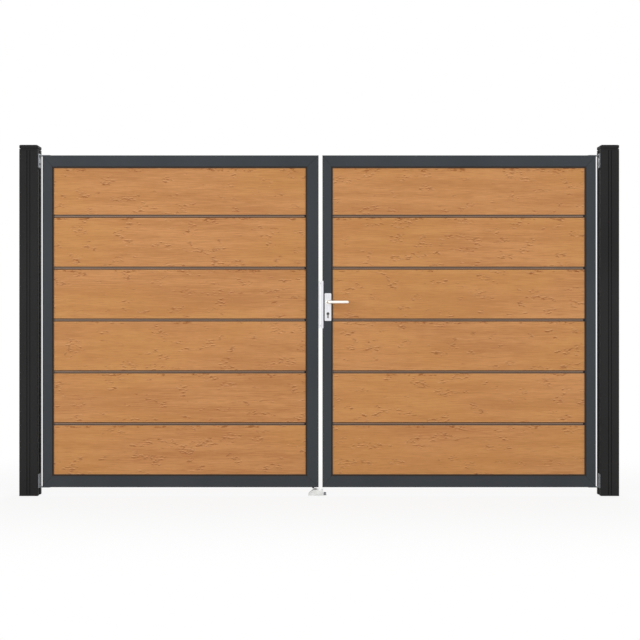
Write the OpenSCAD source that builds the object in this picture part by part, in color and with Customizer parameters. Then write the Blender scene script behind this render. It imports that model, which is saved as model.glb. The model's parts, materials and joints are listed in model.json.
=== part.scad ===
// Double drive gate: two framed leaves of horizontal composite boards between slotted posts.
// Millimetres, +Z up, +X from the left post to the right one, -Y towards the outside.
// The origin is the centre of the left post's foot.

/* [Gateway] */
// Clear width between the posts
clear_width = 3045; // [2800:5:3300]
// Height of a leaf
leaf_height = 1800; // [1780:5:1880]
// Space between the ground and the leaves
ground_gap = 45; // [44:1:60]
// Gap between a post and its leaf
hinge_gap = 22; // [20:1:30]
// Gap between the two leaves
centre_gap = 21; // [21:1:30]

/* [Posts] */
// Side of a post
post_size = 100; // [96:2:120]
// Height of a post under its cap
post_height = 1870; // [1850:5:2100]
// Wall of the posts
post_wall = 3; // [2.5:0.5:4]
// Radius of the posts' corners
post_corner = 3; // [2:0.5:5]
// Width of the slot that takes a fence's boards
slot_width = 24; // [22:1:28]
// Depth of that slot
slot_depth = 20; // [18:1:24]
// Distance between the two fine grooves on the front and back
groove_spacing = 16; // [12:1:24]
// Height of a cap
cap_height = 30; // [28:1:40]

/* [Leaf frame] */
// Depth of a leaf, front to back
leaf_depth = 40; // [38:1:44]
// Distance from the posts' centre to the leaves' centre
leaf_setback = 10; // [6:1:14]
// Width of the stiles on the hinge side
hinge_stile = 60; // [56:1:70]
// Width of the left leaf's stile at the middle
left_lock_stile = 70; // [64:1:80]
// Width of the right leaf's stile at the middle
right_lock_stile = 56; // [55:1:60]
// Height of the rails
rail_height = 69; // [66:1:76]
// Wall of the frame profile
frame_wall = 2.5; // [2:0.5:3]
// Width of the recessed edge next to the boards
edge_width = 8; // [6:1:9]
// Depth of that recess
edge_recess = 6; // [4:0.5:7]
// Depth of the channel that holds the boards
channel_depth = 14; // [12:1:16]

/* [Boards] */
// Thickness of a board
board_thickness = 20; // [18:0.5:21]
// Distance from one joint to the next
board_pitch = 282; // [278:1:284]
// Width of the joint between two boards
joint_width = 16; // [12:1:18]
// Height of the middle joint above the leaves' lower edge
middle_joint = 907; // [900:1:912]
// How far a board reaches into the channel
board_seat = 10; // [6:1:10]
// Thickness of a board's tongue
tongue_thickness = 8; // [6:1:9]
// Bevel of the boards' long edges
board_bevel = 2.5; // [1:0.5:4]
// Height of the joint strips
strip_height = 6; // [5:0.5:8]
// Gap between a strip's end and the right-hand stile
strip_end_gap = 6.5; // [4:0.5:10]

/* [Hinges] */
// Distance from a leaf's edge to its pivot
pivot_inset = 28; // [26:1:30]
// Radius of a pivot pin
pin_radius = 6; // [5:0.5:7]
// Play around a pivot pin
pin_play = 0.3; // [0.2:0.1:0.6]
// Thickness of the hinge plates and arms
hinge_thickness = 6; // [5:0.5:6]
// Height of a hinge plate on the post
hinge_plate_height = 75; // [60:1:90]
// Width of a hinge plate
hinge_plate_width = 36; // [30:1:60]
// How far a hinge arm stands above or below its leaf
arm_rise = 3; // [0:0.5:3]

/* [Lock] */
// Height of the lever's axis above the leaves' lower edge
lever_height = 1004; // [980:1:1040]
// Distance from the leaf's edge to the lever's axis
lock_backset = 30; // [29:1:31]
// Length of a lever from its axis to its tip
lever_length = 113; // [100:1:130]
// Diameter of a lever
lever_diameter = 17; // [15:0.5:19]
// How far a lever stands out from its escutcheon
lever_reach = 42; // [38:1:50]
// Width of an escutcheon
escutcheon_width = 36; // [32:1:36]
// Height of an escutcheon
escutcheon_height = 150; // [140:1:170]
// Thickness of an escutcheon
escutcheon_thickness = 8; // [5:0.5:10]
// Distance from the lever's axis down to the cylinder's
cylinder_drop = 63; // [58:1:72]
// Height of the keep and of the faceplate
keep_height = 257; // [240:1:280]
// Thickness of the keep and of the faceplate
keep_thickness = 8; // [6:0.5:8]

/* [Drop bolt] */
// Diameter of the drop bolt's rod
bolt_diameter = 16; // [12:1:16]
// Length of the rod below its handle
bolt_length = 470; // [400:5:600]
// Height of the raised rod's tip above the ground
bolt_rest = 38; // [37:1:40]

/* [Floor stop] */
// Height of the floor stop
stop_height = 32; // [28:1:32]
// Width of its foot along the gateway
stop_width = 100; // [96:1:110]
// Depth of its foot across the gateway
stop_depth = 90; // [84:1:100]

/* [Hidden] */
$fn = 48;

// Colours
ANTHRACITE = [0.20, 0.22, 0.24];
POST_GREY = [0.17, 0.17, 0.17];
BOARD_BROWN = [0.76, 0.53, 0.34];
STRIP_BROWN = [0.50, 0.42, 0.35];
STAINLESS = [0.80, 0.80, 0.82];
ZINC = [0.52, 0.53, 0.54];
NICKEL = [0.56, 0.55, 0.53];
CAST_GREY = [0.86, 0.86, 0.87];
BLACK = [0.08, 0.08, 0.08];

// Gateway
cut = 1;
board_count = 6;
right_post_x = clear_width + post_size;
leaf_room = clear_width - 2 * hinge_gap - centre_gap;
stile_surplus = left_lock_stile - right_lock_stile;
left_leaf_width = (leaf_room + stile_surplus) / 2;
right_leaf_width = (leaf_room - stile_surplus) / 2;
left_x0 = post_size / 2 + hinge_gap;
left_x1 = left_x0 + left_leaf_width;
right_x0 = left_x1 + centre_gap;
right_x1 = right_x0 + right_leaf_width;
gap_x = (left_x1 + right_x0) / 2;

// Leaves
leaf_y = -leaf_setback;
leaf_front = leaf_y - leaf_depth / 2;
leaf_back = leaf_y + leaf_depth / 2;
leaf_z0 = ground_gap;
leaf_z1 = leaf_z0 + leaf_height;
board_play = 1;
channel_width = board_thickness + board_play;
hollow_end = channel_depth + frame_wall;
frame_corner = 1.5;
field_z0 = leaf_z0 + rail_height;
field_z1 = leaf_z1 - rail_height;
// A leaf is its left edge, its right edge and the widths of its left and right stiles
LEFT = [left_x0, left_x1, hinge_stile, left_lock_stile];
RIGHT = [right_x0, right_x1, right_lock_stile, hinge_stile];
BOTTOM_SIDE = 0;
RIGHT_SIDE = 1;
TOP_SIDE = 2;
LEFT_SIDE = 3;

// Joints
middle = (board_count - 2) / 2;
joint_z = [for (i = [0:board_count - 2]) leaf_z0 + middle_joint + (i - middle) * board_pitch];
strip_web = 2;
flange = 3;
tongue_play = 0.3;

// Hinges
arm_width = 24;
arm_clearance = 5;
pocket_depth = hinge_thickness - arm_rise + arm_clearance;
pocket_length = pivot_inset + arm_width / 2 + 2 * arm_clearance;
pivot_x = hinge_gap + pivot_inset;
pin_reach = 25;
washer_radius = 11;
washer_play = 0.3;
block_height = 36;
block_lip = 3;
plate_lift_top = 5;
plate_lift_bottom = 0;

// Lock
lever_z = leaf_z0 + lever_height;
lock_x = right_x0 + lock_backset;
cylinder_z = lever_z - cylinder_drop;
escutcheon_offset = 27;
escutcheon_z = lever_z - escutcheon_offset;
escutcheon_corner = 5;
spindle_side = 8;
spindle_hole = 6.2;
neck_radius = lever_diameter / 2;
elbow_radius = 14;
rose_radius = 12;
rose_height = 4;
rose_play = 0.5;
cylinder_radius = 8.5;
cylinder_stem = 10;
cylinder_height = 33;
cylinder_play = 0.2;
keep_lift = 862;
keep_z = leaf_z0 + keep_lift;
lip_length = 5;
lip_thickness = 3;
pocket_wall = 1;
bolt_sink = 1;
lock_bolt_width = 14;
// Latch and dead bolt: the height of its middle and the length of its face
LOCK_BOLTS = [[lever_z, 26], [cylinder_z, 36]];

// Drop bolt
bolt_inset = 17.5;
bolt_standoff = 14;
bolt_x = left_x1 - bolt_inset;
bolt_y = leaf_back + bolt_standoff;
bolt_radius = bolt_diameter / 2;
bolt_play = 0.4;
guide_width = 26;
guide_height = 22;
guide_lifts = [12, 290];
handle_length = 60;
buffer_inset = 29;
buffer_x = left_x1 - buffer_inset;
buffer_height = 6;
buffer_width = 11;

// Floor stop
stop_lead = 66;
stop_x0 = gap_x - stop_lead;
stop_ramp = 27;
stop_top = 53;
stop_foot = 5;
stop_side_step = 5;
anchor_inset = 10;
anchor_radius = 4.5;
anchor_spacing = 60;
socket_side = bolt_diameter + 6;

// ---------- Shared profiles ----------

module rounded_square(w, d, r) {
    // Square with arc corners, centred
    square([w - 2 * r, d], center = true);
    square([w, d - 2 * r], center = true);
    for (x = [-1, 1], y = [-1, 1])
        translate([x * (w / 2 - r), y * (d / 2 - r)])
            circle(r);
}

module along_y(depth) {
    // Stands a drawing in XZ up and gives it depth along Y, centred
    rotate([90, 0, 0])
        linear_extrude(depth, center = true)
            children();
}

module along_x(length) {
    // Runs a drawing in YZ along +X
    rotate([90, 0, 90])
        linear_extrude(length)
            children();
}

// ---------- Posts ----------

module post_outline() {
    groove = 1.5;
    difference() {
        rounded_square(post_size, post_size, post_corner);
        for (side = [-1, 1]) {
            translate([side * (post_size - slot_depth + cut) / 2, 0])
                square([slot_depth + cut, slot_width], center = true);
            for (x = [-1, 1])
                translate([x * groove_spacing / 2, side * post_size / 2])
                    square([2 * groove, 2 * groove], center = true);
        }
    }
}

module post_cavity() {
    inner = post_size - 2 * post_wall;
    difference() {
        square(inner, center = true);
        for (side = [-1, 1])
            translate([side * inner / 2, 0])
                square([2 * slot_depth, slot_width + 2 * post_wall], center = true);
    }
}

module post(x) {
    foot_plate = 8;
    color(POST_GREY)
        translate([x, 0, 0])
            difference() {
                linear_extrude(post_height)
                    post_outline();
                translate([0, 0, foot_plate])
                    linear_extrude(post_height)
                        post_cavity();
            }
}

module post_cap(x) {
    joint = 2.5;
    joint_inset = 1.5;
    skirt = 9;
    shadow = 4.5;
    inset = 4;
    bevel = 3;
    play = 1;
    inner = post_size - 2 * post_wall - play;
    spigot = [inner - 2 * slot_depth, inner, 20];
    color(POST_GREY)
        translate([x, 0, post_height]) {
            linear_extrude(joint)
                rounded_square(post_size - 2 * joint_inset, post_size - 2 * joint_inset, post_corner);
            translate([0, 0, joint])
                linear_extrude(skirt - joint)
                    rounded_square(post_size, post_size, post_corner);
            translate([0, 0, skirt])
                linear_extrude(shadow)
                    rounded_square(post_size - 2 * inset, post_size - 2 * inset, post_corner);
            translate([0, 0, skirt + shadow])
                linear_extrude(cap_height - skirt - shadow - bevel)
                    rounded_square(post_size, post_size, post_corner);
            translate([0, 0, cap_height - bevel])
                linear_extrude(bevel, scale = 1 - 2 * bevel / post_size)
                    square(post_size - 2 * post_corner, center = true);
            translate([-spigot.x / 2, -spigot.y / 2, -spigot.z])
                cube(spigot);
        }
}

// ---------- Leaf frames ----------

module frame_outline(w) {
    // Cross-section of a frame profile: outer edge at x = 0, boards enter at x = w
    half = leaf_depth / 2;
    lip = half - edge_recess;
    difference() {
        union() {
            translate([frame_corner, -half])
                square([w - edge_width - frame_corner, leaf_depth]);
            translate([0, -half + frame_corner])
                square([w - edge_width, leaf_depth - 2 * frame_corner]);
            translate([0, -lip])
                square([w, 2 * lip]);
            for (y = [-1, 1])
                translate([frame_corner, y * (half - frame_corner)])
                    circle(frame_corner);
        }
        translate([w - channel_depth, -channel_width / 2])
            square([channel_depth + cut, channel_width]);
        translate([frame_wall, -half + frame_wall])
            square([w - hollow_end - frame_wall, leaf_depth - 2 * frame_wall]);
    }
}

function outer_corners(leaf) = [
    [leaf[0], leaf_z0], [leaf[1], leaf_z0], [leaf[1], leaf_z1], [leaf[0], leaf_z1]
];

function inner_corners(leaf) = [
    [leaf[0] + leaf[2], field_z0], [leaf[1] - leaf[3], field_z0],
    [leaf[1] - leaf[3], field_z1], [leaf[0] + leaf[2], field_z1]
];

module mitre(leaf, side) {
    // The wedge that one member fills, from its outer edge to the boards
    next = (side + 1) % 4;
    outer = outer_corners(leaf);
    inner = inner_corners(leaf);
    translate([0, leaf_y, 0])
        along_y(leaf_depth + 2 * cut)
            polygon([outer[side], outer[next], inner[next], inner[side]]);
}

module rail_bar(leaf, top) {
    // Frame profile laid along the lower or the upper edge
    translate([leaf[0], leaf_y, top ? leaf_z1 : leaf_z0])
        mirror([0, 0, top ? 1 : 0])
            along_x(leaf[1] - leaf[0])
                rotate(90)
                    frame_outline(rail_height);
}

module stile_bar(leaf, right) {
    // Frame profile stood along the left or the right edge
    translate([right ? leaf[1] : leaf[0], leaf_y, leaf_z0])
        mirror([right ? 1 : 0, 0, 0])
            linear_extrude(leaf_height)
                frame_outline(right ? leaf[3] : leaf[2]);
}

module at_hinge_corners(x, right) {
    // Puts a piece drawn for the upper left corner at a leaf's two hinge corners
    for (top = [0, 1])
        translate([x, leaf_y, top ? leaf_z1 : leaf_z0])
            mirror([right ? 1 : 0, 0, 0])
                mirror([0, 0, 1 - top])
                    children();
}

module pivot_pocket() {
    // Room for the hinge arm, open to the back, above and beside the leaf
    front = -leaf_depth / 2 + frame_wall;
    translate([-cut, front, -pocket_depth])
        cube([pocket_length + cut, leaf_depth, pocket_depth + cut]);
}

module frame_member(leaf, side) {
    color(ANTHRACITE)
        difference() {
            intersection() {
                if (side == BOTTOM_SIDE || side == TOP_SIDE)
                    rail_bar(leaf, side == TOP_SIDE);
                else
                    stile_bar(leaf, side == RIGHT_SIDE);
                mitre(leaf, side);
            }
            if (leaf == LEFT)
                at_hinge_corners(left_x0, false)
                    pivot_pocket();
            else
                at_hinge_corners(right_x1, true)
                    pivot_pocket();
            if (leaf == RIGHT && side == LEFT_SIDE)
                lock_cutouts(spindle_hole);
        }
}

module pivot_block() {
    inner_depth = leaf_depth - 2 * frame_wall;
    bore_depth = 28;
    difference() {
        union() {
            translate([frame_wall, -inner_depth / 2, -pocket_depth - block_height])
                cube([pocket_length - frame_wall, inner_depth, block_height]);
            translate([pocket_length - block_lip, -inner_depth / 2, -pocket_depth])
                cube([block_lip, inner_depth, pocket_depth - frame_wall]);
        }
        translate([pivot_inset, 0, -pocket_depth - bore_depth])
            cylinder(h = bore_depth + cut, r = pin_radius + pin_play);
    }
}

module pivot_blocks(x, right) {
    color(ANTHRACITE)
        at_hinge_corners(x, right)
            pivot_block();
}

// ---------- Boards and their joints ----------

module board_section(z0, z1, lower_tongue, upper_tongue) {
    // Cross-section in YZ with bevelled long edges and a tongue where a strip holds the board
    half = board_thickness / 2;
    face = half - board_bevel;
    reach = (joint_width - strip_web) / 2;
    polygon([
        [-face, z0], [face, z0], [half, z0 + board_bevel], [half, z1 - board_bevel],
        [face, z1], [-face, z1], [-half, z1 - board_bevel], [-half, z0 + board_bevel]
    ]);
    if (lower_tongue)
        translate([-tongue_thickness / 2, z0 - reach])
            square([tongue_thickness, reach + cut]);
    if (upper_tongue)
        translate([-tongue_thickness / 2, z1 - cut])
            square([tongue_thickness, reach + cut]);
}

module board(leaf, i) {
    lowest = i == 0;
    highest = i == board_count - 1;
    z0 = lowest ? field_z0 - board_seat : joint_z[i - 1] + joint_width / 2;
    z1 = highest ? field_z1 + board_seat : joint_z[i] - joint_width / 2;
    x0 = leaf[0] + leaf[2] - board_seat;
    x1 = leaf[1] - leaf[3] + board_seat;
    color(BOARD_BROWN)
        translate([x0, leaf_y, 0])
            along_x(x1 - x0)
                board_section(z0, z1, !lowest, !highest);
}

module strip_section() {
    // H profile: two flanges with a web between the boards' tongues
    inner = tongue_thickness / 2 + tongue_play;
    square([2 * inner + cut, strip_web], center = true);
    for (side = [-1, 1])
        translate([side * (inner + flange / 2), 0])
            square([flange, strip_height], center = true);
}

module joint_strips(leaf) {
    x0 = leaf[0] + leaf[2] - board_seat;
    x1 = leaf[1] - leaf[3] - strip_end_gap;
    color(STRIP_BROWN)
        for (z = joint_z)
            translate([x0, leaf_y, z])
                along_x(x1 - x0)
                    strip_section();
}

// ---------- Hinges ----------

module hinge_bracket(lift) {
    // Upper left hinge, from the post's face at x = 0 to the pivot, with the arm's top at z = 0
    rib = [10, slot_width - 1, hinge_plate_height];
    plate_inset = 9;
    plate_y = leaf_setback - post_size / 2 + plate_inset;
    arm_length = pivot_x;
    gap = arm_clearance - washer_play;
    translate([0, plate_y, lift - hinge_plate_height])
        cube([hinge_thickness, hinge_plate_width, hinge_plate_height]);
    // Rib that seats in the post's slot, on the posts' centre line
    translate([-rib.x, leaf_setback - rib.y / 2, lift - hinge_plate_height])
        cube(rib);
    translate([0, -arm_width / 2, -hinge_thickness])
        cube([arm_length, arm_width, hinge_thickness]);
    translate([arm_length, 0, -hinge_thickness])
        cylinder(h = hinge_thickness, r = arm_width / 2);
    translate([arm_length, 0, -hinge_thickness - gap])
        cylinder(h = gap, r = washer_radius);
    translate([arm_length, 0, -hinge_thickness - arm_clearance - pin_reach])
        cylinder(h = arm_clearance + pin_reach, r = pin_radius);
}

module hinge(right, top) {
    x = right ? post_size / 2 + clear_width : post_size / 2;
    color(ZINC)
        translate([x, leaf_y, top ? leaf_z1 + arm_rise : leaf_z0 - arm_rise])
            mirror([right ? 1 : 0, 0, 0])
                mirror([0, 0, top ? 0 : 1])
                    hinge_bracket(top ? plate_lift_top : plate_lift_bottom);
}

// ---------- Lock ----------

module euro_outline(play) {
    // Round barrel with the stem of a profile cylinder hanging below it
    circle(cylinder_radius + play);
    translate([-cylinder_stem / 2 - play, cylinder_radius - cylinder_height - play])
        square([cylinder_stem + 2 * play, cylinder_height - cylinder_radius]);
}

module lock_cutouts(spindle_room) {
    // Through holes for the spindle and the cylinder
    reach = leaf_depth + 4 * escutcheon_thickness;
    translate([lock_x, leaf_y, lever_z])
        along_y(reach)
            circle(spindle_room);
    translate([lock_x, leaf_y, cylinder_z])
        along_y(reach)
            euro_outline(cylinder_play);
}

module escutcheon(y) {
    edge = [1, 1.5];
    face = [escutcheon_width - 2 * edge.x, escutcheon_height - 2 * edge.x];
    color(STAINLESS)
        difference() {
            translate([lock_x, y, escutcheon_z]) {
                along_y(escutcheon_thickness - 2 * edge.y)
                    rounded_square(escutcheon_width, escutcheon_height, escutcheon_corner);
                along_y(escutcheon_thickness)
                    rounded_square(face.x, face.y, escutcheon_corner);
            }
            lock_cutouts(spindle_hole + rose_play);
        }
}

module lock_cylinder() {
    plug_radius = 6.5;
    plug_lift = 0.8;
    key_slot = [1.6, 8.5];
    key_depth = 4;
    proud = 1;
    length = leaf_depth + 2 * (escutcheon_thickness + proud);
    color(NICKEL)
        translate([lock_x, leaf_y, cylinder_z])
            difference() {
                union() {
                    along_y(length)
                        euro_outline(0);
                    along_y(length + 2 * plug_lift)
                        circle(plug_radius);
                }
                for (side = [-1, 1])
                    translate([0, side * (length / 2 + plug_lift), 0])
                        along_y(2 * key_depth)
                            square(key_slot, center = true);
            }
}

module lever(y, out) {
    // Round bar: a neck out of the escutcheon, a quarter turn, and a grip towards the hinges
    neck = lever_reach - elbow_radius;
    grip = lever_length - elbow_radius - neck_radius;
    color(STAINLESS)
        translate([lock_x, y, lever_z])
            mirror([0, out < 0 ? 1 : 0, 0]) {
                rotate([-90, 0, 0])
                    cylinder(h = rose_height, r = rose_radius);
                rotate([-90, 0, 0])
                    cylinder(h = neck, r = neck_radius);
                translate([elbow_radius, neck, 0])
                    rotate([0, 0, 90])
                        rotate_extrude(angle = 90)
                            translate([elbow_radius, 0])
                                circle(neck_radius);
                translate([elbow_radius, lever_reach, 0])
                    rotate([0, 90, 0])
                        cylinder(h = grip, r = neck_radius);
                translate([elbow_radius + grip, lever_reach, 0])
                    sphere(neck_radius);
            }
}

module lever_spindle() {
    length = leaf_depth + 2 * escutcheon_thickness + 2 * rose_play;
    color(STAINLESS)
        translate([lock_x, leaf_y, lever_z])
            along_y(length)
                square(spindle_side, center = true);
}

module lock_windows(x, depth) {
    // Pockets for the latch and the dead bolt in the face of an upright plate
    for (bolt = LOCK_BOLTS)
        translate([x - depth, leaf_y - lock_bolt_width / 2, bolt[0] - bolt[1] / 2])
            cube([2 * depth, lock_bolt_width, bolt[1]]);
}

module lock_keep() {
    pocket = 5;
    color(STAINLESS)
        difference() {
            translate([left_x1, leaf_front, keep_z])
                cube([keep_thickness, leaf_depth, keep_height]);
            lock_windows(left_x1 + keep_thickness, pocket);
        }
}

module lock_faceplate() {
    x0 = right_x0 - keep_thickness;
    depth = leaf_depth + 2 * lip_thickness;
    color(STAINLESS)
        difference() {
            translate([x0, leaf_y - depth / 2, keep_z])
                cube([keep_thickness + lip_length, depth, keep_height]);
            translate([right_x0, leaf_front, keep_z - cut])
                cube([lip_length + cut, leaf_depth, keep_height + 2 * cut]);
            lock_windows(x0, keep_thickness - pocket_wall);
        }
}

module lock_bolts() {
    play = 0.5;
    depth = keep_thickness - pocket_wall - bolt_sink;
    width = lock_bolt_width - 2 * play;
    x0 = right_x0 - keep_thickness + bolt_sink;
    color(STAINLESS)
        for (bolt = LOCK_BOLTS)
            translate([x0, leaf_y - width / 2, bolt[0] - bolt[1] / 2 + play])
                cube([depth, width, bolt[1] - 2 * play]);
}

// ---------- Drop bolt ----------

module drop_bolt_rod() {
    tip = 3;
    top = bolt_rest + bolt_length;
    bend = 14;
    color(STAINLESS)
        translate([bolt_x, bolt_y, 0]) {
            translate([0, 0, bolt_rest])
                cylinder(h = tip, r1 = bolt_radius - tip, r2 = bolt_radius);
            translate([0, 0, bolt_rest + tip])
                cylinder(h = bolt_length - tip - bend, r = bolt_radius);
            translate([0, bend, top - bend])
                rotate([90, 0, -90])
                    rotate_extrude(angle = 90)
                        translate([bend, 0])
                            circle(bolt_radius);
            translate([0, bend, top])
                rotate([-90, 0, 0])
                    cylinder(h = handle_length - bend, r = bolt_radius);
            translate([0, handle_length, top])
                sphere(bolt_radius);
        }
}

module drop_bolt_guides() {
    // A cheek around the rod, and an ear for the screws
    cheek = guide_width / 2;
    ear = [27, 3, guide_height];
    color(STAINLESS)
        for (lift = guide_lifts)
            translate([bolt_x, 0, leaf_z0 + lift])
                difference() {
                    union() {
                        translate([0, bolt_y, 0])
                            cylinder(h = guide_height, r = cheek);
                        translate([-cheek, leaf_back, 0])
                            cube([guide_width, bolt_standoff, guide_height]);
                        translate([-cheek - ear.x, leaf_back, 0])
                            cube([ear.x + cut, ear.y, ear.z]);
                    }
                    translate([0, bolt_y, -cut])
                        cylinder(h = guide_height + 2 * cut, r = bolt_radius + bolt_play);
                }
}

module leaf_buffer() {
    color(BLACK)
        translate([buffer_x - buffer_width / 2, leaf_y - leaf_depth / 4, leaf_z0 - buffer_height])
            cube([buffer_width, leaf_depth / 2, buffer_height]);
}

// ---------- Floor stop ----------

module floor_stop() {
    // A foot plate and a block with a ramp on the left, a square socket for the rod, two anchor holes
    color(CAST_GREY)
        difference() {
            union() {
                translate([stop_x0, -stop_depth / 2, 0])
                    cube([stop_width, stop_depth, stop_foot]);
                translate([stop_x0, 0, 0])
                    along_y(stop_depth - 2 * stop_side_step)
                        polygon([
                            [0, stop_foot], [stop_ramp, stop_height], [stop_ramp + stop_top, stop_height],
                            [stop_ramp + stop_top, stop_foot - cut], [0, stop_foot - cut]
                        ]);
            }
            translate([bolt_x - socket_side / 2, bolt_y - socket_side / 2, stop_foot])
                cube([socket_side, socket_side, stop_height]);
            for (y = [-1, 1])
                translate([stop_x0 + stop_width - anchor_inset, y * anchor_spacing / 2, -cut])
                    cylinder(h = stop_foot + 2 * cut, r = anchor_radius);
        }
}

post(0);  // left_post
post(right_post_x);  // right_post
post_cap(0);  // left_post_cap
post_cap(right_post_x);  // right_post_cap
hinge(false, true);  // left_top_hinge
hinge(false, false);  // left_bottom_hinge
hinge(true, true);  // right_top_hinge
hinge(true, false);  // right_bottom_hinge
floor_stop();
frame_member(LEFT, TOP_SIDE);  // left_top_rail
frame_member(LEFT, BOTTOM_SIDE);  // left_bottom_rail
frame_member(LEFT, LEFT_SIDE);  // left_hinge_stile
frame_member(LEFT, RIGHT_SIDE);  // left_lock_stile
pivot_blocks(left_x0, false);  // left_pivot_blocks
board(LEFT, 0);  // left_board_1
board(LEFT, 1);  // left_board_2
board(LEFT, 2);  // left_board_3
board(LEFT, 3);  // left_board_4
board(LEFT, 4);  // left_board_5
board(LEFT, 5);  // left_board_6
joint_strips(LEFT);  // left_joint_strips
lock_keep();
drop_bolt_guides();
leaf_buffer();
frame_member(RIGHT, TOP_SIDE);  // right_top_rail
frame_member(RIGHT, BOTTOM_SIDE);  // right_bottom_rail
frame_member(RIGHT, LEFT_SIDE);  // right_lock_stile
frame_member(RIGHT, RIGHT_SIDE);  // right_hinge_stile
pivot_blocks(right_x1, true);  // right_pivot_blocks
board(RIGHT, 0);  // right_board_1
board(RIGHT, 1);  // right_board_2
board(RIGHT, 2);  // right_board_3
board(RIGHT, 3);  // right_board_4
board(RIGHT, 4);  // right_board_5
board(RIGHT, 5);  // right_board_6
joint_strips(RIGHT);  // right_joint_strips
lock_faceplate();
lock_bolts();
escutcheon(leaf_front - escutcheon_thickness / 2);  // front_escutcheon
escutcheon(leaf_back + escutcheon_thickness / 2);  // back_escutcheon
lock_cylinder();
lever(leaf_front - escutcheon_thickness - rose_play, -1);  // front_lever
lever(leaf_back + escutcheon_thickness + rose_play, 1);  // back_lever
lever_spindle();
drop_bolt_rod();
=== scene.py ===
# %% [markdown]
# # A double drive gate
# The construction of this gate is already made: posts, frames, boards, hinges, lock and floor stop come as
# exact solids, joined where the real gate moves. What is left is what a painter, a supplier of boards and a
# fitter would add: finishes with the right grain and gloss, the rubber seals around the boards, and the
# screws.

# %% Load the gate's construction
import json
import math
import bpy
from mathutils import Matrix, Vector


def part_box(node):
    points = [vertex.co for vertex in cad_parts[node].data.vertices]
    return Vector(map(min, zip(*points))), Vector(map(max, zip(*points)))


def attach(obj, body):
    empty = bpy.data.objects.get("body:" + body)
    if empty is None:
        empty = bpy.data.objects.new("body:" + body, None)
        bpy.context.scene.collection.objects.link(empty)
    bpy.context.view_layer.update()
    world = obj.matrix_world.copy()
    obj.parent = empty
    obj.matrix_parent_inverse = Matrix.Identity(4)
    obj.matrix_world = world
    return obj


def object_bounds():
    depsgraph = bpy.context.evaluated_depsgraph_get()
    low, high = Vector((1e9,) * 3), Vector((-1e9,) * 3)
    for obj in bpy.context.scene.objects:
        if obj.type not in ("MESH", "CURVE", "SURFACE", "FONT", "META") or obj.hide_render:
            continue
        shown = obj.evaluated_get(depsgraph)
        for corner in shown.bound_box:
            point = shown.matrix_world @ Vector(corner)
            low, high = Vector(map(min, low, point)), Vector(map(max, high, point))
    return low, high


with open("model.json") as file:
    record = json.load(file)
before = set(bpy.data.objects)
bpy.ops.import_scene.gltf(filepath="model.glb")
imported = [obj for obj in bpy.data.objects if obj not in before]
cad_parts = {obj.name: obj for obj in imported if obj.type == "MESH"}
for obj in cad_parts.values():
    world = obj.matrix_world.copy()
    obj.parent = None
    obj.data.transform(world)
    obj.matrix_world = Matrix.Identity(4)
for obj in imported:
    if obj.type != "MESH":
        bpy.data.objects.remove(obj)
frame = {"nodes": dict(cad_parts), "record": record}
cad_box = [list(corner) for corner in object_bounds()]
MM = 0.001

# %% [markdown]
# ## Measuring instead of typing numbers
# Every place in this file comes from the solids. A field is the opening of a leaf's frame, where the boards
# show, so it is found from the four frame members around it.

# %% Sizes taken from the solids
post_low, post_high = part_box("left_post")
GROUND = post_low.z
DEPTH_OF_EDGE = 6 * MM


def field(side):
    """Left, right, lower and upper limit of a leaf's boarded field."""
    left, right = ("hinge", "lock") if side == "left" else ("lock", "hinge")
    return (
        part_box(f"{side}_{left}_stile")[1].x,
        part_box(f"{side}_{right}_stile")[0].x,
        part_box(f"{side}_bottom_rail")[1].z,
        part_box(f"{side}_top_rail")[0].z,
    )


leaf_low, leaf_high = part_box("left_top_rail")
LEAF_FRONT, LEAF_BACK = leaf_low.y, leaf_high.y
FIELDS = {side: field(side) for side in ("left", "right")}
print("leaf front and back:", round(LEAF_FRONT, 4), round(LEAF_BACK, 4))
print("fields:", {side: [round(v, 4) for v in f] for side, f in FIELDS.items()})

# %% [markdown]
# ## Sums on sockets
# A finish is a small sum: colour here, a little less where the grain runs, a little more gloss on an edge.
# Blender writes such a sum as a chain of Math nodes. Wrapping a socket in a class with Python's operators
# lets the sum be written as a sum, and the nodes are added behind it.


# %% A socket that can be used in a sum
class Wire:
    def __init__(self, tree, socket):
        self.tree = tree
        self.socket = socket

    def sum(self, operation, *others):
        return self.tree.node("ShaderNodeMath", {"operation": operation}, dict(enumerate([self, *others])))

    def __add__(self, other):
        return self.sum("ADD", other)

    def __radd__(self, other):
        return self.sum("ADD", other)

    def __sub__(self, other):
        return self.sum("SUBTRACT", other)

    def __rsub__(self, other):
        return self.tree.node("ShaderNodeMath", {"operation": "SUBTRACT"}, {0: other, 1: self})

    def __mul__(self, other):
        return self.sum("MULTIPLY", other)

    def __rmul__(self, other):
        return self.sum("MULTIPLY", other)

    def step(self, low, high):
        """0 below low, 1 above high, and smooth between them."""
        limits = {"Value": self, "From Min": low, "From Max": high}
        return self.tree.node("ShaderNodeMapRange", {"interpolation_type": "SMOOTHSTEP"}, limits)


# %% [markdown]
# ## Trees and finishes
# A material and the world each own a tree of nodes. The tree's method `node` adds any node at all: the
# type, the settings that the node is made with, and then what goes into its sockets, as plain values or as
# wires. A finish is a material with its tree and the few nodes that every finish needs.


# %% A tree and the one method that adds its nodes
class Tree:
    def __init__(self, owner):
        owner.use_nodes = True
        self.nodes = owner.node_tree.nodes
        self.links = owner.node_tree.links

    def node(self, kind, settings=None, inputs=None, output=0):
        made = self.nodes.new(kind)
        for name, value in (settings or {}).items():
            setattr(made, name, value)
        for name, value in (inputs or {}).items():
            self.feed(made.inputs[name], value)
        return Wire(self, made.outputs[output])

    def feed(self, socket, value):
        if isinstance(value, Wire):
            self.links.new(value.socket, socket)
        else:
            socket.default_value = value


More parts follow.
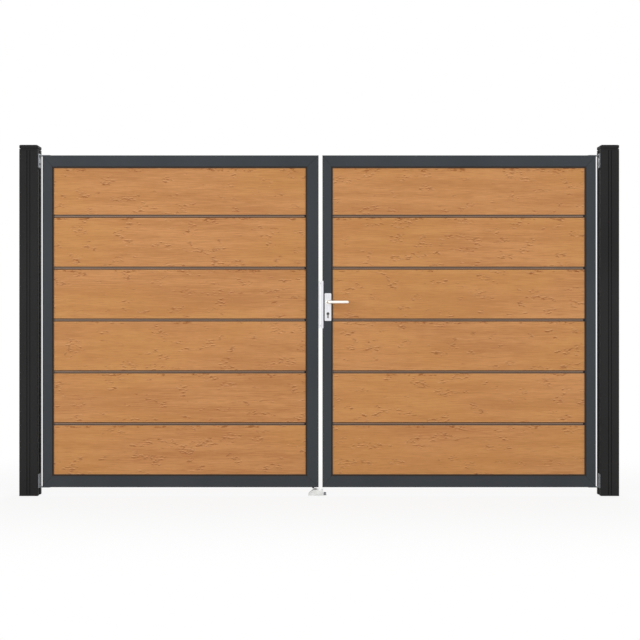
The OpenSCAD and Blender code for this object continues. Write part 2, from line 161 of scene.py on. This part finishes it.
class Finish(Tree):
    def __init__(self, name):
        self.material = bpy.data.materials.new(name)
        super().__init__(self.material)
        self.surface = self.nodes["Principled BSDF"]
        self.place = self.node("ShaderNodeTexCoord", output="Object")

    def axis(self, name):
        """One of the object's own coordinates: X, Y or Z."""
        return self.node("ShaderNodeSeparateXYZ", {}, {0: self.place}, name)

    def stretch(self, scale):
        """The object's own coordinates, drawn out or squeezed along each axis."""
        return self.node("ShaderNodeMapping", {}, {"Vector": self.place, "Scale": scale})

    def noise(self, where, detail=2.0, roughness=0.5, scale=1.0):
        inputs = {"Vector": where, "Scale": scale, "Detail": detail, "Roughness": roughness}
        return self.node("ShaderNodeTexNoise", {}, inputs, "Fac")

    def mix(self, factor, first, second):
        settings = {"data_type": "RGBA", "clamp_factor": True}
        inputs = {0: factor, 6: first, 7: second}
        return self.node("ShaderNodeMix", settings, inputs, 2)

    def bump(self, height, distance, strength=1.0):
        return self.node("ShaderNodeBump", {}, {"Height": height, "Distance": distance, "Strength": strength})

    def shade(self, **sockets):
        for name, value in sockets.items():
            self.feed(self.surface.inputs[name.replace("_", " ")], value)
        return self.material


def colour(red, green, blue):
    """A colour given as on a paint card, 0 to 255, turned into Blender's linear light."""

    def linear(value):
        value = value / 255
        return value / 12.92 if value <= 0.04045 else ((value + 0.055) / 1.055) ** 2.4

    return (linear(red), linear(green), linear(blue), 1.0)


# %% [markdown]
# ## Powder coat
# Posts and frames are aluminium with a baked powder coat. Up close it has a fine orange peel, about a
# millimetre from crest to crest, and its gloss is uneven. A fine noise gives the peel as bump, and a wide,
# faint noise shifts colour and gloss, as handling and rain do. Where two profiles meet, and along the posts'
# extruded grooves, a line is painted near black and lies a little lower, so the coat takes such a line as a
# mask: at a mitre it is the joint's own dark hairline, in a groove it is painted shade.


# %% Powder coat
def powder_coat(name, shade, low_shade, roughness, sheen, joint_and_shade_mask):
    finish = Finish(name)
    peel = finish.noise(finish.stretch((900, 900, 900)), detail=2.0)
    wide = finish.noise(finish.stretch((3, 3, 1.2)), detail=3.0)
    speck = finish.noise(finish.stretch((260, 260, 260)), detail=1.0)
    line = joint_and_shade_mask(finish)
    base = finish.mix(wide.step(0.35, 0.7), shade, low_shade)
    base = finish.mix(speck.step(0.64, 0.8) * 0.2, base, colour(96, 99, 103))
    # Painted near black along the mask: dark joints at the mitres, painted shade in the post grooves.
    base = finish.mix(line * 0.75, base, colour(12, 12, 12))
    return finish.shade(
        Base_Color=base,
        Roughness=roughness + 0.12 * (wide - 0.5) + 0.08 * (peel - 0.5) + 0.1 * line,
        Specular_IOR_Level=sheen,
        Normal=finish.bump(peel - line * 3.0, 0.15 * MM),
    )


# %% [markdown]
# The leaves' frames are mitred: each corner shows a hairline from the outer corner to the corner of the
# boarded field. The upper and the lower half of a leaf are alike, so heights are folded at its middle, and
# two corners give the lines for all four.


# %% Mitre lines
def mitre_lines(finish):
    x, height = finish.axis("X"), finish.axis("Z")
    total = 0.0
    for side, (left, right, low, high) in FIELDS.items():
        outer_low, outer_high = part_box(f"{side}_bottom_rail")[0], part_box(f"{side}_top_rail")[1]
        middle = (outer_low.z + outer_high.z) / 2
        folded = (height - middle).sum("ABSOLUTE")
        for outer_x, inner_x in ((outer_low.x, left), (outer_high.x, right)):
            start = Vector((outer_x, outer_high.z - middle))
            run = Vector((inner_x, high - middle)) - start
            reach, run = run.length, run.normalized()
            dx, dz = x - start.x, folded - start.y
            across = (dx * run.y - dz * run.x).sum("ABSOLUTE")
            along = dx * run.x + dz * run.y
            hairline = 1 - across.step(0.2 * MM, 0.8 * MM)
            total = hairline * along.step(-4 * MM, -2 * MM) * (1 - along.step(reach, reach + 2 * MM)) + total
    return total


# %% [markdown]
# The posts have two fine extruded grooves down the middle of the front and of the back, painted darker as
# painted shade. A groove is found by its distance from the nearest post's centre.

# %% Post grooves and both coats
GROOVE_SPACING = 16 * MM
GROOVE_HALF = 1.6 * MM


def post_grooves(finish):
    right_low, right_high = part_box("right_post")
    left_x = (post_low.x + post_high.x) / 2
    right_x = (right_low.x + right_high.x) / 2
    from_middle = (finish.axis("X") - (left_x + right_x) / 2).sum("ABSOLUTE")
    from_post = (from_middle - (right_x - left_x) / 2).sum("ABSOLUTE")
    from_groove = (from_post - GROOVE_SPACING / 2).sum("ABSOLUTE")
    depth = post_high.y - finish.axis("Y").sum("ABSOLUTE")
    near = (1 - from_groove.step(GROOVE_HALF, GROOVE_HALF + 0.2 * MM)) * (1 - depth.step(1.8 * MM, 2.2 * MM))
    return near * finish.axis("Z").sum("LESS_THAN", post_high.z)


ANTHRACITE, ANTHRACITE_LOW = colour(59, 63, 67), colour(55, 59, 63)
BLACK_GREY, BLACK_GREY_LOW = colour(43, 43, 43), colour(38, 38, 38)
FRAME_PAINT = powder_coat("anthracite powder coat", ANTHRACITE, ANTHRACITE_LOW, 0.6, 0.15, mitre_lines)
POST_PAINT = powder_coat("black grey powder coat", BLACK_GREY, BLACK_GREY_LOW, 0.75, 0.08, post_grooves)

# %% [markdown]
# ## Composite boards
# The boards are pressed from wood fibre and plastic, with an embossed grain: long fine streaks along the
# board, and small dark flecks in loose groups. One noise, drawn out along X, makes the streaks. A second
# one, cut off high, makes flecks, and a third says where the groups are. The flecks' own noise, lifted by a
# few millimetres, paints a pale upper rim above each of them: a painted highlight, as on a tiny knot that
# catches the light. Each board starts its pattern somewhere else, so that no two look alike. The bevels
# are painted paler, a painted highlight along the edges, and the tongues in the joints are painted near
# black: the core's own darker colour together with painted shade in the joints.
#
# The pattern needs to know which board a point is on. The rows are counted up from the first joint, and the
# top board is shorter than the others, so its heights are moved up to end at 1 as well.

# %% Where a point lies on its board
BOARD_LOW, BOARD_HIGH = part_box("left_board_2")
BOARD_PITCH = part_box("left_board_3")[0].z - BOARD_LOW.z
BOARD_MIDDLE = (BOARD_LOW.y + BOARD_HIGH.y) / 2
BOARD_HALF = (BOARD_HIGH.y - BOARD_LOW.y) / 2
FIRST_JOINT = (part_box("left_board_1")[1].z + BOARD_LOW.z) / 2
TOP_ROW = 4.0
TOP_BOARD_END = FIRST_JOINT + (TOP_ROW + 1) * BOARD_PITCH
TOP_BOARD_LACKS = (TOP_BOARD_END - FIELDS["left"][3]) / BOARD_PITCH
BETWEEN_LEAVES = (FIELDS["left"][1] + FIELDS["right"][0]) / 2
NUMBERS_ON_THE_LEFT = 7.0


def board_places(finish):
    """Each board's own number, the height within the board from 0 to 1, and the depth under its face."""
    row = (finish.axis("Z") - FIRST_JOINT) * (1 / BOARD_PITCH)
    shortened = row.sum("GREATER_THAN", TOP_ROW) * TOP_BOARD_LACKS
    on_right = finish.axis("X").sum("GREATER_THAN", BETWEEN_LEAVES)
    number = row.sum("FLOOR") + on_right * NUMBERS_ON_THE_LEFT
    depth = BOARD_HALF - (finish.axis("Y") - BOARD_MIDDLE).sum("ABSOLUTE")
    return number, row.sum("FRACT") + shortened, depth


# %% [markdown]
# The grain also wanders up and down a little, so the noises are looked up at a place that is bent by one
# more noise. Their scales are waves per metre: along the board, through it, and up it.

# %% Composite board
JUMP_PER_BOARD = (3.71, 1.37, 0.53)
WANDER_HEIGHT = 7 * MM
FLECK_WAVES = (34, 60, 130)
RIM_LIFT = 5 * MM


def composite_board():
    finish = Finish("wood-look composite")
    number, height, depth = board_places(finish)
    jumps = {axis: number * jump for axis, jump in enumerate(JUMP_PER_BOARD)}
    shift = finish.node("ShaderNodeCombineXYZ", {}, jumps)
    place = finish.node("ShaderNodeVectorMath", {"operation": "ADD"}, {0: finish.place, 1: shift})
    wander = finish.noise(finish.node("ShaderNodeMapping", {}, {"Vector": place, "Scale": (2.6, 2, 7)}), 2.0)
    bend = finish.node("ShaderNodeCombineXYZ", {}, {2: (wander - 0.5) * WANDER_HEIGHT})
    place = finish.node("ShaderNodeVectorMath", {"operation": "ADD"}, {0: place, 1: bend})

    def drawn(scale, detail=2.0, roughness=0.5, lift=0.0):
        """A noise drawn out along the board, and moved up it by lift."""
        raised = (0, 0, -lift * scale[2])
        where = finish.node("ShaderNodeMapping", {}, {"Vector": place, "Location": raised, "Scale": scale})
        return finish.noise(where, detail, roughness)

    bands = drawn((1.7, 20, 20), 2.0)
    streaks = drawn((9, 120, 280), 4.0, 0.62)
    lines = drawn((13, 200, 430), 2.0)
    fibres = drawn((40, 700, 900), 2.0)
    groups = drawn((10, 4, 21), 1.0)
    edge_groups = drawn((9, 4, 1.5), 1.0)
    flecks = drawn(FLECK_WAVES, 3.0, 0.62)
    highlight_rims = drawn(FLECK_WAVES, 3.0, 0.62, lift=RIM_LIFT)
    dashes = drawn((42, 50, 125), 2.0)
    drift = drawn((1.3, 2, 3.2), 1.0)
    grain = (0.4 * bands + 0.6 * streaks).step(0.38, 0.62)
    base = finish.mix(grain, colour(184, 125, 74), colour(205, 147, 92))
    base = finish.mix(drift.step(0.4, 0.62) * 0.35, base, colour(198, 142, 75))
    base = finish.mix(lines.step(0.54, 0.68) * 0.5, base, colour(170, 110, 62))
    base = finish.mix(fibres.step(0.5, 0.75) * 0.3, base, colour(176, 116, 66))
    under_edge = height.step(0.915, 0.935) * edge_groups.step(0.47, 0.56)
    fibrous = 0.35 + 0.65 * fibres.step(0.35, 0.6)
    torn = 0.22 * (fibres - 0.5)
    grouped = groups.step(0.565, 0.645)
    spots = (flecks + torn).step(0.49, 0.65) * grouped
    spots = (spots + (dashes + torn).step(0.5, 0.64) * under_edge) * fibrous
    # Painted highlight: a pale rim above each fleck.
    pale = highlight_rims.step(0.5, 0.64) * grouped * fibrous
    base = finish.mix(pale * 0.6, base, colour(230, 178, 128))
    base = finish.mix(spots * 0.86, base, colour(134, 68, 16))
    # Painted highlight: the bevels along each board's edges are painted paler.
    painted_bevel_highlight = depth.step(0.3 * MM, 1.0 * MM) - depth.step(1.9 * MM, 2.4 * MM)
    base = finish.mix(painted_bevel_highlight * 0.8, base, colour(224, 174, 128))
    # The tongues in the joints are painted near black: the core's own darker colour and painted shade in the
    # joints.
    core_and_painted_shade = depth.step(2.4 * MM, 3.4 * MM)
    base = finish.mix(core_and_painted_shade, base, colour(26, 16, 10))
    relief = streaks * 0.6 + lines * 0.3 + fibres * 0.3 - spots * 0.6
    return finish.shade(
        Base_Color=base,
        Roughness=0.64 + 0.12 * (streaks - 0.5) + 0.1 * spots,
        Specular_IOR_Level=0.25,
        Normal=finish.bump(relief, 0.35 * MM),
    )


BOARD = composite_board()

# %% [markdown]
# ## Joint strips
# Between two boards lies a coated aluminium strip, satin and brown.


# %% Satin strip
def satin_strip():
    finish = Finish("satin brown strip")
    drawn = finish.noise(finish.stretch((8, 400, 700)), detail=2.0)
    base = finish.mix(drawn.step(0.3, 0.7), colour(128, 101, 81), colour(142, 115, 94))
    return finish.shade(
        Base_Color=base,
        Roughness=0.45 + 0.1 * (drawn - 0.5),
        Normal=finish.bump(drawn, 0.05 * MM),
    )


STRIP = satin_strip()

# %% [markdown]
# ## Stainless steel, nickel and zinc
# Brushed stainless has fine parallel scratches, so a noise drawn out along one axis gives both its bump and
# its uneven gloss. The lock cylinder is nickel with the same scratches, and around its key it is painted
# near black, as painted shade of the keyhole. The hinges are dipped in zinc, which dries in dull patches the
# size of a fingernail.


# %% Brushed and dipped metals
def brushed_metal(name, scale, dark, light, roughness, painted_shade=None):
    finish = Finish(name)
    scratches = finish.noise(finish.stretch(scale), detail=3.0, roughness=0.6)
    smudges = finish.noise(finish.stretch((30, 30, 30)), detail=2.0)
    base = finish.mix(scratches.step(0.3, 0.7), dark, light)
    # Painted shade: near black mixed in where the mask says.
    if painted_shade:
        base = finish.mix(painted_shade(finish), base, colour(34, 33, 32))
    return finish.shade(
        Base_Color=base,
        Metallic=1.0,
        Roughness=roughness + 0.14 * (scratches - 0.5) + 0.1 * (smudges - 0.5),
        Normal=finish.bump(scratches, 0.03 * MM),
    )


def dipped_zinc(name, dark, light):
    finish = Finish(name)
    patches = finish.node("ShaderNodeTexVoronoi", {}, {"Vector": finish.stretch((110, 110, 110))}, "Color")
    tone = finish.node("ShaderNodeSeparateColor", {}, {0: patches}, 0)
    grain = finish.noise(finish.stretch((500, 500, 500)), detail=2.0)
    return finish.shade(
        Base_Color=finish.mix(0.7 * tone + 0.3 * grain, dark, light),
        Metallic=0.85,
        Roughness=0.5 + 0.15 * (tone - 0.5),
        Normal=finish.bump(grain, 0.06 * MM),
    )


PLUG_RADIUS = 6.5 * MM


def painted_keyway_shade(finish):
    """The plug of the lock cylinder, painted dark around its keyway as painted shade of the keyhole."""
    low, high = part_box("lock_cylinder")
    barrel = (high.x - low.x) / 2
    across = finish.axis("X") - (low.x + high.x) / 2
    up = finish.axis("Z") - (high.z - barrel)
    away = (across * across + up * up).sum("SQRT")
    return (1 - away.step(PLUG_RADIUS - 0.6 * MM, PLUG_RADIUS)) * 0.85


PLATE_TONES = colour(212, 212, 216), colour(229, 229, 233)
# The lever's steel is toned paler than the plates' steel: a painted highlight on the same brushed stainless.
LEVER_HIGHLIGHT_TONES = colour(240, 237, 231), colour(250, 247, 241)
# The nickel is toned darker than the stainless: partly its own tone, partly painted shade of the keyhole.
NICKEL_TONES = colour(132, 130, 126), colour(150, 148, 144)
UPRIGHT_STEEL = brushed_metal("brushed steel, upright grain", (900, 900, 18), *PLATE_TONES, 0.3)
LEVER_STEEL = brushed_metal("brushed steel, grain along the lever", (25, 900, 900), *LEVER_HIGHLIGHT_TONES, 0.42)
NICKEL = brushed_metal("nickel", (900, 900, 60), *NICKEL_TONES, 0.38, painted_keyway_shade)
ZINC = dipped_zinc("dull zinc", colour(106, 109, 112), colour(134, 137, 140))

# %% [markdown]
# ## Cast metal and rubber
# The floor stop is a casting: pale, dull, with a grainy skin that holds dirt in its hollows. Rubber is
# never quite black, and its skin is finely pitted.


# %% Casting and rubber
def cast_metal():
    finish = Finish("cast metal")
    grain = finish.noise(finish.stretch((420, 420, 420)), detail=3.0)
    blotch = finish.noise(finish.stretch((35, 35, 35)), detail=2.0)
    base = finish.mix(blotch.step(0.35, 0.65), colour(218, 219, 217), colour(230, 231, 229))
    base = finish.mix(grain.step(0.58, 0.75) * 0.3, base, colour(176, 176, 172))
    return finish.shade(
        Base_Color=base,
        Metallic=0.35,
        Roughness=0.55 + 0.15 * (grain - 0.5),
        Normal=finish.bump(grain, 0.2 * MM),
    )


def rubber(name, dark, light):
    finish = Finish(name)
    skin = finish.noise(finish.stretch((600, 600, 600)), detail=2.0)
    return finish.shade(
        Base_Color=finish.mix(skin.step(0.4, 0.7), dark, light),
        Roughness=0.75 + 0.1 * (skin - 0.5),
        Specular_IOR_Level=0.3,
        Normal=finish.bump(skin, 0.1 * MM),
    )


CAST = cast_metal()
RUBBER = rubber("black rubber", colour(24, 23, 22), colour(34, 32, 30))
# The seal's dark brown is partly the rubber's own colour and partly painted shade in the gap around the
# boards.
SEAL_AND_SHADE_RUBBER = rubber("dark brown seal rubber and painted shade", colour(54, 40, 26), colour(66, 50, 34))

# %% [markdown]
# ## Finishes on the construction
# A solid whose shape is right only needs its material. Round bars get smooth shading, with sharp edges
# kept.

# %% Give each solid its finish
FINISH_OF_SLOT = {
    "post_paint": POST_PAINT,
    "frame_paint": FRAME_PAINT,
    "board": BOARD,
    "strip": STRIP,
    "stainless": UPRIGHT_STEEL,
    "hinge_steel": ZINC,
    "nickel": NICKEL,
    "cast_metal": CAST,
    "rubber": RUBBER,
}
ALONG_X = ("front_lever", "back_lever", "lever_spindle")
slot_of = {part["node"]: part["material_slot"] for part in frame["record"]["subparts"]}
for name, solid in frame["nodes"].items():
    finish = LEVER_STEEL if name in ALONG_X else FINISH_OF_SLOT[slot_of[name]]
    solid.data.materials.clear()
    solid.data.materials.append(finish)
    solid.data.shade_smooth()
    solid.data.set_sharp_from_angle(angle=math.radians(30))
print("solids with a finish:", len(frame["nodes"]))

# %% [markdown]
# ## Mesh pieces
# Added pieces are plain meshes: a list of points and a list of faces. One helper turns them into an object
# that rides on a body, so that it moves with its leaf.


# %% Make a mesh piece that rides on a body
def piece(name, points, faces, body, material, smooth_angle=30):
    mesh = bpy.data.meshes.new(name)
    mesh.from_pydata(points, [], faces)
    mesh.validate()
    mesh.shade_smooth()
    mesh.set_sharp_from_angle(angle=math.radians(smooth_angle))
    mesh.materials.append(material)
    made = bpy.data.objects.new(name, mesh)
    bpy.context.scene.collection.objects.link(made)
    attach(made, body)
    return made


# %% [markdown]
# ## Seals
# The boards stand in a channel, and a rubber seal closes the gap between the frame's recessed edge and the
# board. Its dark brown is partly the rubber's own colour and partly painted shade in that gap. It is an
# extruded profile, laid around the field and cut at the corners. A section is a list of points: how far
# each lies outside the field, and how far it stands out from the recessed edge.

# %% Board seals
SEAL_SECTION = [
    (7.6, -0.2), (7.6, 1.4), (6.8, 2.2), (4.0, 2.2), (2.6, 1.2), (1.0, -1.4), (0.2, -3.9),
    (0.9, -4.0), (1.4, -2.4), (1.6, -0.2),
]  # fmt: skip


def seal_loop(side, face, outward):
    """Points and faces of a seal around one field, on the front or on the back."""
    left, right, low, high = FIELDS[side]
    edge_y = face - outward * DEPTH_OF_EDGE
    points = []
    for beyond, proud in SEAL_SECTION:
        y = edge_y + outward * proud * MM
        x0, x1 = left - beyond * MM, right + beyond * MM
        z0, z1 = low - beyond * MM, high + beyond * MM
        points += [(x0, y, z0), (x1, y, z0), (x1, y, z1), (x0, y, z1)]
    count = len(SEAL_SECTION)
    faces = []
    for i in range(count):
        for k in range(4):
            a, b = 4 * i, 4 * ((i + 1) % count)
            quad = (a + k, a + (k + 1) % 4, b + (k + 1) % 4, b + k)
            faces.append(quad if outward < 0 else quad[::-1])
    return points, faces


for side in ("left", "right"):
    for label, face, outward in (("front", LEAF_FRONT, -1), ("back", LEAF_BACK, 1)):
        points, faces = seal_loop(side, face, outward)
        piece(f"{side}_{label}_seal", points, faces, f"{side}_leaf", SEAL_AND_SHADE_RUBBER)
print("seals laid around the fields:", 4)

# %% [markdown]
# ## Joint plugs
# Each strip stops short of the right-hand stile, which leaves it room to grow in the sun. The slit between
# the boards' tongues would let light through there, so a rubber plug is pushed in beside the strip's end.

# %% Rubber plugs at the ends of the strips
PLUG_HALF = 3.5 * MM
PLUG_PLAY = 0.05 * MM
PLUG_REACH = 1 * MM
BLOCK_FACES = ((0, 1, 3, 2), (4, 6, 7, 5), (0, 4, 5, 1), (2, 3, 7, 6), (0, 2, 6, 4), (1, 5, 7, 3))
for side in ("left", "right"):
    ends_x = (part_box(f"{side}_joint_strips")[1].x + PLUG_PLAY, FIELDS[side][1] + PLUG_REACH)
    ends_y = (BOARD_MIDDLE - PLUG_HALF, BOARD_MIDDLE + PLUG_HALF)
    points, faces = [], []
    for number in range(1, 6):
        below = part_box(f"{side}_board_{number}")[1].z + PLUG_PLAY
        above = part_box(f"{side}_board_{number + 1}")[0].z - PLUG_PLAY
        faces += [tuple(len(points) + corner for corner in quad) for quad in BLOCK_FACES]
        points += [(x, y, z) for x in ends_x for y in ends_y for z in (below, above)]
    piece(f"{side}_joint_plugs", points, faces, f"{side}_leaf", RUBBER)
    print("joint plugs on the", side, "leaf:", len(points) // 8)

# %% [markdown]
# ## Turned pieces
# Screw heads and washers are turned or pressed from bar, so each is a stack of rings along its own axis. A
# ring is a radius, a height and a mark for a hexagon, which pulls the ring's points in to six flats. With
# the same number of points in every ring, a round head passes into its hexagon socket with plain quads.

# %% Stack of rings
POINTS_ROUND = 36
LENS_HEAD = [
    (4.4, -0.4, 0), (4.4, 0.1, 0), (4.1, 0.6, 0), (3.4, 1.05, 0), (2.4, 1.3, 0), (2.1, 1.3, 1),
    (2.0, 0.15, 1),
]  # fmt: skip
BUTTON_HEAD = [
    (5.0, -0.3, 0), (5.0, 0.4, 0), (4.7, 1.2, 0), (3.9, 2.0, 0), (2.9, 2.4, 0), (2.0, 2.5, 1), (1.9, 0.6, 1),
]  # fmt: skip
ANCHOR_HEAD = [
    (8.5, -0.2, 0), (8.5, 0.9, 0), (8.2, 1.2, 0), (6.6, 1.25, 1), (6.6, 5.2, 1), (5.9, 5.9, 0), (3.5, 6.1, 0),
]  # fmt: skip


def ring(radius, height, hexagon):
    """Points of one ring, round or pulled in to a hexagon."""
    points = []
    for k in range(POINTS_ROUND):
        turn = 2 * math.pi * k / POINTS_ROUND
        flat = math.cos(math.pi / 6) / math.cos(turn % (math.pi / 3) - math.pi / 6)
        reach = radius * MM * (flat if hexagon else 1)
        points.append(Vector((reach * math.cos(turn), reach * math.sin(turn), height * MM)))
    return points


def turned(profile, place, axis, points, faces):
    """Add a stack of rings to a piece's points and faces, standing at place and pointing along axis."""
    stand = Matrix.Translation(place) @ Vector(axis).to_track_quat("Z", "Y").to_matrix().to_4x4()
    first, count = len(points), len(profile)
    for radius, height, hexagon in profile:
        points += [stand @ point for point in ring(radius, height, hexagon)]
    n = POINTS_ROUND
    for i in range(count - 1):
        a, b = first + i * n, first + (i + 1) * n
        faces += [(a + k, a + (k + 1) % n, b + (k + 1) % n, b + k) for k in range(n)]
    faces.append(tuple(first + k for k in reversed(range(n))))
    faces.append(tuple(first + (count - 1) * n + k for k in range(n)))


def fasteners(name, profile, places, body, material):
    """One piece with the same fastener at each place."""
    points, faces = [], []
    for place, axis in places:
        turned(profile, place, axis, points, faces)
    made = piece(name, points, faces, body, material)
    print(name, "at", len(places), "places")
    return made


# %% [markdown]
# ## Screws
# Each hinge plate is held to its post by two button-head screws, which stand out from the plate's face.

# %% Hinge screws
HINGE_PLATE = Vector((6 * MM, 36 * MM, 75 * MM))
SCREW_SPREAD = 18 * MM
hinge_screws = []
for side in ("left", "right"):
    for level in ("top", "bottom"):
        low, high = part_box(f"{side}_{level}_hinge")
        face = post_high.x + HINGE_PLATE.x if side == "left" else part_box("right_post")[0].x - HINGE_PLATE.x
        middle = high.z - HINGE_PLATE.z / 2 if level == "top" else low.z + HINGE_PLATE.z / 2
        for lift in (-SCREW_SPREAD, SCREW_SPREAD):
            place = Vector((face, low.y + HINGE_PLATE.y / 2, middle + lift))
            hinge_screws.append((place, (1 if side == "left" else -1, 0, 0)))
fasteners("hinge_screws", BUTTON_HEAD, hinge_screws, "posts", ZINC)

# %% [markdown]
# The keep and the lock's faceplate face each other in the gap between the leaves. Both have a lens-head
# screw near each end. Such a head is low, so that the leaves still clear each other.

# %% Screws of the keep and the faceplate
END_DISTANCE = 13 * MM
for name, node, body, direction in (
    ("keep_screws", "lock_keep", "left_leaf", 1),
    ("faceplate_screws", "lock_faceplate", "right_leaf", -1),
):
    low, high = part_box(node)
    face = high.x if direction > 0 else low.x
    heights = (low.z + END_DISTANCE, high.z - END_DISTANCE)
    places = [(Vector((face, (low.y + high.y) / 2, z)), (direction, 0, 0)) for z in heights]
    fasteners(name, LENS_HEAD, places, body, UPRIGHT_STEEL)

# %% [markdown]
# The outer escutcheon is held from behind, so its face is bare, and only the inner one shows screws. The
# drop bolt's guides have two screws in their ears.

# %% Screws of the inner escutcheon and of the drop bolt's guides
low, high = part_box("back_escutcheon")
centre = (low.x + high.x) / 2
places = [(Vector((centre, high.y, z)), (0, 1, 0)) for z in (low.z + END_DISTANCE, high.z - END_DISTANCE)]
fasteners("escutcheon_screws", LENS_HEAD, places, "right_leaf", UPRIGHT_STEEL)

EAR_THICKNESS = 3 * MM
GUIDE_HALF = 11 * MM
EAR_SCREWS = (7 * MM, 20 * MM)
low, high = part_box("drop_bolt_guides")
places = []
for height in (low.z + GUIDE_HALF, high.z - GUIDE_HALF):
    for inward in EAR_SCREWS:
        places.append((Vector((low.x + inward, LEAF_BACK + EAR_THICKNESS, height)), (0, 1, 0)))
fasteners("guide_screws", LENS_HEAD, places, "left_leaf", UPRIGHT_STEEL)

# %% [markdown]
# Two anchors with hexagon heads hold the floor stop to the paving, one in front of the other.

# %% Anchors of the floor stop
STOP_FOOT = 5 * MM
anchors = next(mount for mount in frame["record"]["mounts"] if mount["name"] == "floor_stop_anchors")
anchor_x = anchors["pos_m"][0]
anchor_y = anchors["dims"]["spacing_y_mm"] * MM / 2
places = [(Vector((anchor_x, y, GROUND + STOP_FOOT)), (0, 0, 1)) for y in (-anchor_y, anchor_y)]
fasteners("anchor_heads", ANCHOR_HEAD, places, "posts", ZINC)

# %% [markdown]
# ## Studio
# The gate stands on a plain pale floor in front of a white backdrop. Rays from the camera see plain white
# far away, and near the gate they see the floor with its shadow. So both the floor and the world ask of
# each ray whether it only looks, or whether it brings light to something else.

# %% Floor
WHITE = (1.0, 1.0, 1.0, 1.0)
FLOOR_HALF = 30.0
PALE_NEARBY = 0.87
PALING_FROM, PALING_TO = 0.3, 2.2


def only_looking(tree):
    """1 for a ray from the camera, also by way of a mirror or through glass, and 0 for the others."""
    kinds = ("Camera", "Glossy", "Transmission")
    looks, mirrored, through = [tree.node("ShaderNodeLightPath", output=f"Is {kind} Ray") for kind in kinds]
    return looks.sum("MAXIMUM", mirrored).sum("MAXIMUM", through)


def floor_finish():
    finish = Finish("pale floor")
    grain = finish.noise(finish.stretch((60, 60, 60)), detail=2.0)
    finish.shade(
        Base_Color=finish.mix(grain.step(0.3, 0.7), (0.9, 0.9, 0.9, 1), (0.94, 0.94, 0.94, 1)),
        Roughness=0.9,
        Specular_IOR_Level=0.0,
    )
    centre, half = (cad_box[0][0] + cad_box[1][0]) / 2, (cad_box[1][0] - cad_box[0][0]) / 2
    beside = ((finish.axis("X") - centre).sum("ABSOLUTE") - half).sum("MAXIMUM", 0.0)
    away = (beside * beside + finish.axis("Y") * finish.axis("Y")).sum("SQRT")
    paleness = PALE_NEARBY + (1 - PALE_NEARBY) * away.step(PALING_FROM, PALING_TO)
    white = finish.node("ShaderNodeEmission", {}, {"Color": WHITE, "Strength": 1.0})
    surface = Wire(finish, finish.surface.outputs[0])
    mixed = finish.node("ShaderNodeMixShader", {}, {0: paleness * only_looking(finish), 1: surface, 2: white})
    finish.feed(finish.nodes["Material Output"].inputs["Surface"], mixed)
    return finish.material


floor_mesh = bpy.data.meshes.new("floor")
corners = [(-1, -1), (1, -1), (1, 1), (-1, 1)]
floor_mesh.from_pydata([(x * FLOOR_HALF, y * FLOOR_HALF, GROUND) for x, y in corners], [], [(0, 1, 2, 3)])
floor_mesh.materials.append(floor_finish())
floor = bpy.data.objects.new("floor", floor_mesh)
bpy.context.scene.collection.objects.link(floor)

# %% [markdown]
# The world lights the gate softly from all sides, at less than half the brightness that it shows to the
# camera. Two large lamps in front give a little direction, and one behind lights the backs of the leaves.

# %% World and lamps
SKY_LIGHT = 0.45
world = bpy.data.worlds.new("studio")
bpy.context.scene.world = world
studio = Tree(world)
studio.nodes.clear()
sky = studio.node("ShaderNodeBackground", {}, {"Color": WHITE, "Strength": SKY_LIGHT})
backdrop = studio.node("ShaderNodeBackground", {}, {"Color": WHITE, "Strength": 1.0})
either = studio.node("ShaderNodeMixShader", {}, {0: only_looking(studio), 1: sky, 2: backdrop})
studio.feed(studio.nodes.new("ShaderNodeOutputWorld").inputs["Surface"], either)

LAMP_SIZE = 4.0
AIM_HEIGHT = 0.95
LAMPS = (
    ("key", -3.5, -5.5, 2.1, 147),
    ("fill", 4.0, -5.0, 2.1, 99),
    ("back", 1.0, 6.0, 4.5, 200),
)
MIDDLE_X = (cad_box[0][0] + cad_box[1][0]) / 2
aim = Vector((MIDDLE_X, 0, AIM_HEIGHT))
for name, aside, away, height, watts in LAMPS:
    data = bpy.data.lights.new(name, "AREA")
    data.shape = "SQUARE"
    data.size = LAMP_SIZE
    data.energy = watts
    lamp = bpy.data.objects.new(name, data)
    lamp.location = (MIDDLE_X + aside, away, height)
    lamp.rotation_euler = (aim - lamp.location).to_track_quat("-Z", "Y").to_euler()
    bpy.context.scene.collection.objects.link(lamp)
print("lamps:", len(LAMPS))

# %% [markdown]
# ## Camera
# The gate is seen square on, from seven metres, with the lens at half its height. The focal length follows
# from the distance and from how much of the scene's width is to be in view.

# %% Camera
VIEW_WIDTH = 3.4706
CAMERA_DISTANCE = 7.0
CAMERA_ASIDE = 4.3 * MM
CAMERA_HEIGHT = 0.952
camera_data = bpy.data.cameras.new("camera")
camera_data.sensor_width = 36.0
camera_data.lens = camera_data.sensor_width * CAMERA_DISTANCE / VIEW_WIDTH
camera = bpy.data.objects.new("camera", camera_data)
camera.location = (MIDDLE_X + CAMERA_ASIDE, LEAF_FRONT - CAMERA_DISTANCE, CAMERA_HEIGHT)
camera.rotation_euler = (math.radians(90), 0, 0)
bpy.context.scene.collection.objects.link(camera)
bpy.context.scene.camera = camera
bpy.context.scene.view_settings.view_transform = "Standard"
print("lens:", round(camera_data.lens, 1), "mm")

# %% [markdown]
# ## Sizes
# The construction's box, measured before anything was added, is printed. The dressed gate
# has to stay within the box of its construction.

# %% Print the construction's box
print("construction box:", cad_box)
